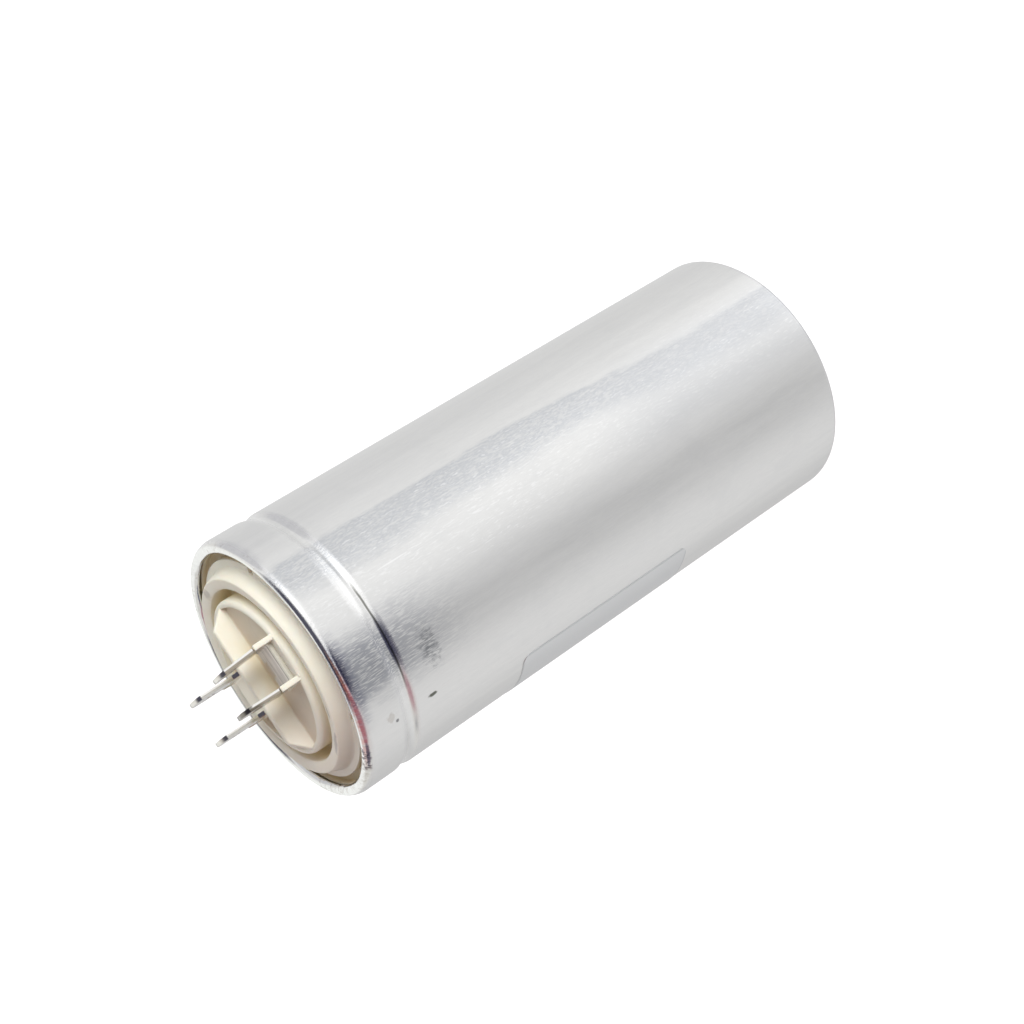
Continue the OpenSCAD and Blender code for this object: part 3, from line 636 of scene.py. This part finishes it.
def make_can():
    """The drawn can: closed end, bead and rolled rim in one shell, its cut edge a little ragged."""
    bore = CAN_R - CAN_WALL
    rim_r = CAN_R - RIM_ROUND
    rim_z = CAN_H - RIM_ROUND
    inner = END_ROUND - CAN_WALL
    side = [(CAN_R, END_ROUND + (BEAD_Z - 2 * BEAD_HIGH - END_ROUND) * i / SIDE_STEPS)
            for i in range(1, SIDE_STEPS + 1)]
    profile = [(0.0, 0.0)]
    profile += arc(CAN_R - END_ROUND, END_ROUND, END_ROUND, -90, 0)
    profile += side
    profile += bead_side(CAN_R, BEAD_LOW, BEAD_HIGH)
    profile += [(CAN_R, CAN_H - SHOULDER - 1 * MM)]
    profile += oval(rim_r, CAN_H - SHOULDER, RIM_ROUND, SHOULDER, 0, 90, 20)
    profile += arc(rim_r, rim_z, RIM_ROUND, 90, RIM_TURN, 12)[1:]
    profile += arc(rim_r, rim_z, RIM_ROUND - CAN_WALL, RIM_TURN, 0, 14)
    profile += bead_side(bore, BEAD_INSIDE, BEAD_INSIDE)[::-1]
    profile += arc(bore - inner, CAN_FLOOR + inner, inner, 0, -90, 4)
    profile += [(0.0, CAN_FLOOR)]
    can = lathe("can_shell", profile)
    for v in can.data.vertices:
        r = math.hypot(v.co.x, v.co.y)
        turn = math.degrees(math.atan2(v.co.z - rim_z, r - rim_r))
        near_edge = 0.0
        if v.co.z > rim_z - 0.1 * MM and r < rim_r:
            near_edge = min(max((turn - RAG_START) / RAG_SPAN, 0.0), 1.0)
        if near_edge:
            wave = noise.noise(Vector((v.co.x, v.co.y, 0.0)) * 240.0)
            fine = noise.noise(Vector((v.co.x, v.co.y, 7.0)) * 1500.0)
            shift = (RAG_WAVE * wave + RAG_FINE * fine) * MM * near_edge
            v.co.x += v.co.x / r * abs(shift)
            v.co.y += v.co.y / r * abs(shift)
            v.co.z += shift
    soften(can, 40.0)
    dress(can, can_material())
    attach(can, "root")
    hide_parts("can")


def bar_section(x, top):
    """Section of the bar at x: feet that flare into the deck, and a rounded top at height top."""
    half = BAR_T / 2
    foot = 0.3 * MM
    edge = 0.42 * MM
    low = DECK_Z - SUNK
    side = arc(half + foot, DECK_Z + foot, foot, 270, 180, 4)
    side += arc(half - edge, top - edge, edge, 0, 90, 5)
    points = [(half + foot, low)] + side
    points += [(-y, z) for y, z in reversed(points)]
    return [(x, y, z) for y, z in points]


def make_bar():
    """The bar that parts the terminals, sloped down to the boss's rim at both ends."""
    foot_x = BOSS_R - 2 * BOSS_RIM / 3
    top_x = foot_x - BAR_SLOPE
    blend = 0.5 * MM
    bend_x = top_x + 1.5 * blend
    fall = (BAR_TOP - BOSS_Z) / (foot_x - top_x)

    def top_at(x):
        over = abs(x) - top_x
        return BAR_TOP - fall * math.log1p(math.exp(over / (blend / 4))) * (blend / 4)

    xs = [-foot_x + (foot_x - bend_x) * k / 3 for k in range(3)]
    xs += [-top_x + blend * k / 4 for k in range(-6, 7)]
    xs += [-x for x in reversed(xs)]
    return loft("bar", [bar_section(x, top_at(x)) for x in xs])


def make_rib(x):
    """The rib at one tab's outer edge: steep against the tab, sloped to the boss's rim outside."""
    inner = TAB_OUT + RIB_GAP
    foot = math.sqrt((BOSS_R - BOSS_RIM / 3) ** 2 - x ** 2)
    points = [(inner, DECK_Z - SUNK), (inner, BAR_TOP), (inner + RIB_FLAT, BAR_TOP),
              (foot, BOSS_Z - 0.1 * MM), (foot, DECK_Z - SUNK)]
    rib = loft("rib", [[(x + side * RIB_T / 2, -y, z) for y, z in points] for side in (-1, 1)])
    bm = bmesh.new()
    bm.from_mesh(rib.data)
    high = [e for e in bm.edges if max(v.co.z for v in e.verts) > BAR_TOP - 0.1 * MM]
    bmesh.ops.bevel(bm, geom=high, offset=RIB_EDGE, segments=EDGE_STEPS, profile=0.5, affect="EDGES")
    bm.to_mesh(rib.data)
    bm.free()
    return rib


def make_seat():
    """One terminal's place: pad, pocket wall and two ribs, as separate solids."""
    pad_x = TAB_PITCH / 2 + PAD_REACH
    seat_z = DECK_Z + SEAT_H
    pocket = TAB_OUT + POCKET_GAP
    solids = [block("pad", (SEAT_SHIFT - pad_x, -pocket - 0.2 * MM, DECK_Z - SUNK),
                    (SEAT_SHIFT + pad_x, -TAB_OUT + TAB_W + 0.3 * MM, seat_z), PAD_EDGE)]
    solids.append(block("pocket", (SEAT_SHIFT - TAB_PITCH / 2, -BOSS_R + BOSS_RIM / 2, DECK_Z - SUNK),
                        (SEAT_SHIFT + TAB_PITCH / 2, -pocket, BOSS_Z), PAD_EDGE))
    solids += [make_rib(SEAT_SHIFT + side * TAB_PITCH / 2) for side in (-1, 1)]
    return solids


def make_notch(angle):
    """Cutter of one notch in the ring's outer edge."""
    cutter = block("notch", (RING_OUT - NOTCH_L, -NOTCH_W / 2, GAP_Z + NOTCH_SILL),
                   ((RING_OUT + FLANGE_IN) / 2, NOTCH_W / 2, CREST_Z), NOTCH_EDGE)
    return turned(cutter, angle)


def make_slot():
    """Cutter of the slot that a terminal's tongue passes through."""
    half = TONGUE_W / 2 + TONGUE_GAP
    inner = -TAB_OUT + TAB_W + TONGUE_GAP
    return block("slot", (SEAT_SHIFT - half, inner - TONGUE_DEEP - 2 * TONGUE_GAP, DECK_Z - COVER_WALL - 1 * MM),
                 (SEAT_SHIFT + half, inner, DECK_Z + SEAT_H + 1 * MM))


def make_cover():
    """The ivory moulding: ring, channel and boss turned, with bar, ribs and pads grown on."""
    boss_in = BOSS_R - BOSS_RIM
    edge, fillet = COVER_EDGE, COVER_FILLET
    well = BOSS_R - COVER_WALL
    under = CHANNEL_Z - COVER_WALL
    profile = [(0.0, DECK_Z), (boss_in - fillet, DECK_Z)]
    profile += arc(boss_in - fillet, DECK_Z + fillet, fillet, 270, 360, 4)[1:]
    profile += arc(boss_in + edge, BOSS_Z - edge, edge, 180, 90, 3)
    profile += arc(BOSS_R - BOSS_ROUND, BOSS_Z - BOSS_ROUND, BOSS_ROUND, 90, 0, 8)
    profile += arc(BOSS_R + fillet, CHANNEL_Z + fillet, fillet, 180, 270, 4)
    profile += arc(RING_IN - fillet, CHANNEL_Z + fillet, fillet, 270, 360, 4)
    profile += oval(CREST_R, CREST_Z - RING_FALL, CREST_R - RING_IN, RING_FALL, 180, 90)
    profile += slope((CREST_R, CREST_Z), (RING_OUT - LIP_W, LIP_Z))[1:]
    profile += arc(RING_OUT - edge, LIP_Z - edge, edge, 90, 0, 3)
    profile += [(RING_OUT, GAP_Z), (FLANGE_IN, GAP_Z), (FLANGE_IN, SEAL_LOW),
                (COVER_R, SEAL_LOW), (COVER_R, COVER_LOW),
                (COVER_R - SKIRT_WALL, COVER_LOW), (COVER_R - SKIRT_WALL, under), (well, under),
                (well, DECK_Z - COVER_WALL), (0.0, DECK_Z - COVER_WALL)]
    cover = lathe("cover_moulding", profile)
    added = [make_bar()] + make_seat() + [turned(solid, 180) for solid in make_seat()]
    combine(cover, added, "UNION")
    cutters = [make_notch(angle) for angle in NOTCH_ANGLES] + [make_slot(), turned(make_slot(), 180)]
    combine(cover, cutters, "DIFFERENCE")
    soften(cover, 38.0)
    dress(cover, cover_material())
    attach(cover, "root")
    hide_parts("cover")


def make_terminal(node, made):
    """A folded terminal: the CAD solid with its sharp edges broken."""
    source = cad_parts[node]
    bm = bmesh.new()
    bm.from_mesh(source.data)
    bmesh.ops.remove_doubles(bm, verts=bm.verts, dist=1e-7)
    bmesh.ops.dissolve_limit(bm, angle_limit=math.radians(0.6), verts=bm.verts, edges=bm.edges)
    sharp = [e for e in bm.edges if len(e.link_faces) == 2 and e.calc_face_angle(0.0) > math.radians(40)]
    bmesh.ops.bevel(bm, geom=sharp, offset=TAB_EDGE, segments=EDGE_STEPS, profile=0.55, affect="EDGES",
                    clamp_overlap=True)
    piece = make_object(node.replace("terminal", "tab_sheet"), bm)
    soften(piece, 35.0)
    dress(piece, made)
    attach(piece, "root")
    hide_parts(node)


def make_label():
    """The film patch on the can's side, its corners rounded."""
    half_w = CAN_R * math.sin(math.radians(LABEL_ARC / 2))
    sections = []
    for i in range(LABEL_COLUMNS + 1):
        # columns gather towards both ends, where the corners are
        across = -half_w * math.cos(math.pi * i / LABEL_COLUMNS)
        over = max(abs(across) - half_w + LABEL_CORNER, 0.0)
        inset = LABEL_CORNER - math.sqrt(max(LABEL_CORNER ** 2 - over ** 2, 0.0))
        low, high = LABEL_LOW + inset, LABEL_LOW + LABEL_L - inset
        a = math.radians(LABEL_ANGLE) + math.asin(across / CAN_R)
        inside, outside = CAN_R - LABEL_SINK, CAN_R + LABEL_T
        corners = ((inside, low), (outside, low), (outside, high), (inside, high))
        sections.append([(r * math.cos(a), r * math.sin(a), z) for r, z in corners])
    label = loft("label_patch", sections)
    soften(label, 30.0)
    dress(label, label_material())
    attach(label, "root")
    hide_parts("label")


def dress_cad_nodes():
    """Materials for the CAD nodes that stay as they are."""
    dress(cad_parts["gasket"], seal_material())
    film = inner_material("metallised_film", (0.72, 0.73, 0.76), 0.7, 0.35, 300.0)
    wrap = inner_material("wrap_film", (0.90, 0.86, 0.66), 0.0, 0.3, 200.0)
    core = inner_material("core_plastic", (0.85, 0.85, 0.83), 0.0, 0.5, 400.0)
    spray = inner_material("sprayed_zinc", (0.50, 0.51, 0.52), 0.8, 0.8, 4000.0)
    lining = inner_material("lining_plastic", (0.84, 0.83, 0.79), 0.0, 0.5, 300.0)
    copper = inner_material("lead_copper", (0.75, 0.50, 0.35), 1.0, 0.35, 2000.0)
    sleeve = inner_material("tube_plastic", (0.15, 0.30, 0.55), 0.0, 0.45, 900.0)
    solder = inner_material("solder", (0.66, 0.67, 0.69), 1.0, 0.3, 1500.0)
    chosen = {"film_roll": film, "roll_wrap": wrap, "core_tube": core, "end_spray_top": spray,
              "end_spray_bottom": spray, "bottom_cup": lining, "can_liner": lining, "top_spacer": lining,
              "lead_front": copper, "lead_rear": copper, "lead_tube_front": sleeve,
              "lead_tube_rear": sleeve, "tab_solder_front": solder, "tab_solder_rear": solder,
              "end_solder_top": solder, "end_solder_bottom": solder}
    for node, made in chosen.items():
        dress(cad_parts[node], made)


# ---------------------------------------------------------------- scene
CAMERA_AT = (-18.87, -291.02, 218.31)            # millimetres
CAMERA_FORWARD = (0.06134, 0.87719, -0.47619)
CAMERA_RIGHT = (-0.56319, -0.36347, -0.74210)
CAMERA_LENS = 63.62                              # millimetres, on a sensor 36 mm wide
FLOOR_R = 6.0
FLOOR_GLOW = 0.75                                # added where the camera sees the floor, so that it is white


def make_camera():
    """Camera at the photograph's angle, rolled so that the can lies across the picture."""
    at = Vector(CAMERA_AT) * MM
    forward = Vector(CAMERA_FORWARD).normalized()
    right = Vector(CAMERA_RIGHT).normalized()
    up = right.cross(forward)
    data = bpy.data.cameras.new("camera")
    data.sensor_width = 36.0
    data.lens = CAMERA_LENS
    data.clip_start = 0.01
    data.clip_end = 20.0
    camera = bpy.data.objects.new("camera", data)
    turn = Matrix((right, up, -forward)).transposed().to_4x4()
    camera.matrix_world = Matrix.Translation(at) @ turn
    bpy.context.scene.collection.objects.link(camera)
    bpy.context.scene.camera = camera


def make_world():
    """Soft tent of light, brightest in front, with BANDS below the horizon and THINGS that the metal reflects."""
    world = bpy.data.worlds.new("tent")
    world.use_nodes = True
    bpy.context.scene.world = world
    n = Nodes(world.node_tree)
    direction = n.add("ShaderNodeTexCoord").outputs["Generated"]
    parts = n.add("ShaderNodeSeparateXYZ", {0: direction})
    turn = n.math("ARCTAN2", parts.outputs["Y"], parts.outputs["X"])
    along = n.math("ADD", n.math("DIVIDE", turn, 2 * math.pi), 0.5)
    bands = n.add("ShaderNodeValToRGB", {0: along})
    ramp = bands.color_ramp
    ramp.interpolation = "B_SPLINE"
    while len(ramp.elements) < len(BANDS):
        ramp.elements.new(0.5)
    for element, (azimuth, level) in zip(ramp.elements, BANDS):
        element.position = (azimuth + 180.0) / 360.0
        element.color = (level, level, level, 1.0)
    facing = n.vector("DOT_PRODUCT", direction, Vector((0.50, -0.86, 0.0)).normalized())
    sky = n.mix(n.step(facing, -0.8, 0.85), (0.72, 0.71, 0.68, 1.0), (1.06, 1.06, 1.06, 1.0))
    low = n.mix(n.step(parts.outputs["Z"], -0.62, -0.9), bands.outputs[0], (0.66, 0.66, 0.67, 1.0))
    tent = n.mix(n.step(parts.outputs["Z"], -0.12, 0.1), low, sky)
    for azimuth, elevation, width, colour in THINGS:
        a, e = math.radians(azimuth), math.radians(elevation)
        towards = (math.cos(a) * math.cos(e), math.sin(a) * math.cos(e), math.sin(e))
        near = n.vector("DOT_PRODUCT", direction, towards)
        inside = n.step(near, math.cos(math.radians(width * 1.2)), math.cos(math.radians(width * 0.8)))
        tent = n.mix(inside, tent, colour)
    seen = n.mix(n.add("ShaderNodeLightPath").outputs["Is Camera Ray"], tent, WHITE)
    background = n.add("ShaderNodeBackground", {"Color": seen, "Strength": 1.0})
    out = n.add("ShaderNodeOutputWorld")
    n.tree.links.new(background.outputs[0], out.inputs["Surface"])


# Brightness of the tent by azimuth in degrees, below the horizon: what the can's side reflects.
BANDS = [(-180, 0.80), (-165, 0.78), (-148, 0.64), (-134, 0.50), (-120, 0.60), (-106, 0.78), (-90, 0.92),
         (-74, 0.99), (-60, 0.90), (-42, 0.75), (-22, 0.90), (5, 0.80), (38, 0.70), (65, 0.88), (90, 0.74),
         (114, 0.58), (135, 0.62), (155, 0.78), (180, 0.80)]
# Things that stand in the tent and show in the rolled rim, the bead and the tabs: azimuth, elevation and half
# width in degrees, and colour.
THINGS = [(-60, 80, 36, (0.09, 0.09, 0.12, 1.0)), (86, 22, 34, (0.97, 0.98, 0.96, 1.0)),
          (12, 12, 30, (0.62, 0.62, 0.64, 1.0)), (-140, 57, 17, (0.36, 0.22, 0.18, 1.0)),
          (-169, 31, 23, (0.44, 0.25, 0.28, 1.0)), (160, 18, 12, (0.16, 0.17, 0.22, 1.0)),
          (-120, 13, 21, (0.06, 0.06, 0.11, 1.0)), (-50, -54, 24, (1.25, 1.25, 1.25, 1.0)),
          (-52, 20, 15, (1.7, 1.7, 1.7, 1.0))]


def make_floor():
    """Plain white floor that keeps the shadow and lets reflections through to the tent."""
    bm = bmesh.new()
    bmesh.ops.create_circle(bm, cap_ends=True, segments=96, radius=FLOOR_R)
    floor = make_object("floor", bm)
    made, n = material("floor")
    paths = n.add("ShaderNodeLightPath")
    lit = n.add("ShaderNodeBsdfDiffuse", {"Color": (0.9, 0.9, 0.9, 1.0)})
    glow = n.add("ShaderNodeEmission", {"Color": WHITE, "Strength": FLOOR_GLOW})
    through = n.add("ShaderNodeBsdfTransparent")
    seen = n.add("ShaderNodeAddShader")
    n.tree.links.new(lit.outputs[0], seen.inputs[0])
    n.tree.links.new(glow.outputs[0], seen.inputs[1])
    camera_or_not = n.add("ShaderNodeMixShader", {0: paths.outputs["Is Camera Ray"]})
    n.tree.links.new(lit.outputs[0], camera_or_not.inputs[1])
    n.tree.links.new(seen.outputs[0], camera_or_not.inputs[2])
    glossy = n.math("MAXIMUM", paths.outputs["Is Glossy Ray"], paths.outputs["Is Transmission Ray"])
    last = n.add("ShaderNodeMixShader", {0: glossy})
    n.tree.links.new(camera_or_not.outputs[0], last.inputs[1])
    n.tree.links.new(through.outputs[0], last.inputs[2])
    out = n.add("ShaderNodeOutputMaterial")
    n.tree.links.new(last.outputs[0], out.inputs["Surface"])
    dress(floor, made)


def make_lamp(name, at, aim, size, watts):
    """Soft round lamp at a point in millimetres, facing another. Metal reflects the tent, not the lamp."""
    data = bpy.data.lights.new(name, "AREA")
    data.shape = "DISK"
    data.size = size * MM
    data.energy = watts
    lamp = bpy.data.objects.new(name, data)
    lamp.location = Vector(at) * MM
    lamp.rotation_euler = (Vector(aim) - Vector(at)).to_track_quat("-Z", "Y").to_euler()
    lamp.visible_glossy = False
    bpy.context.scene.collection.objects.link(lamp)


make_camera()
make_world()
make_floor()
make_lamp("key", at=(260, -600, 200), aim=(0, 0, 112), size=380, watts=2.9)
make_can()
make_cover()
tabs = tab_material()
make_terminal("terminal_front", tabs)
make_terminal("terminal_rear", tabs)
make_label()
dress_cad_nodes()
bpy.context.scene.view_settings.view_transform = "Standard"
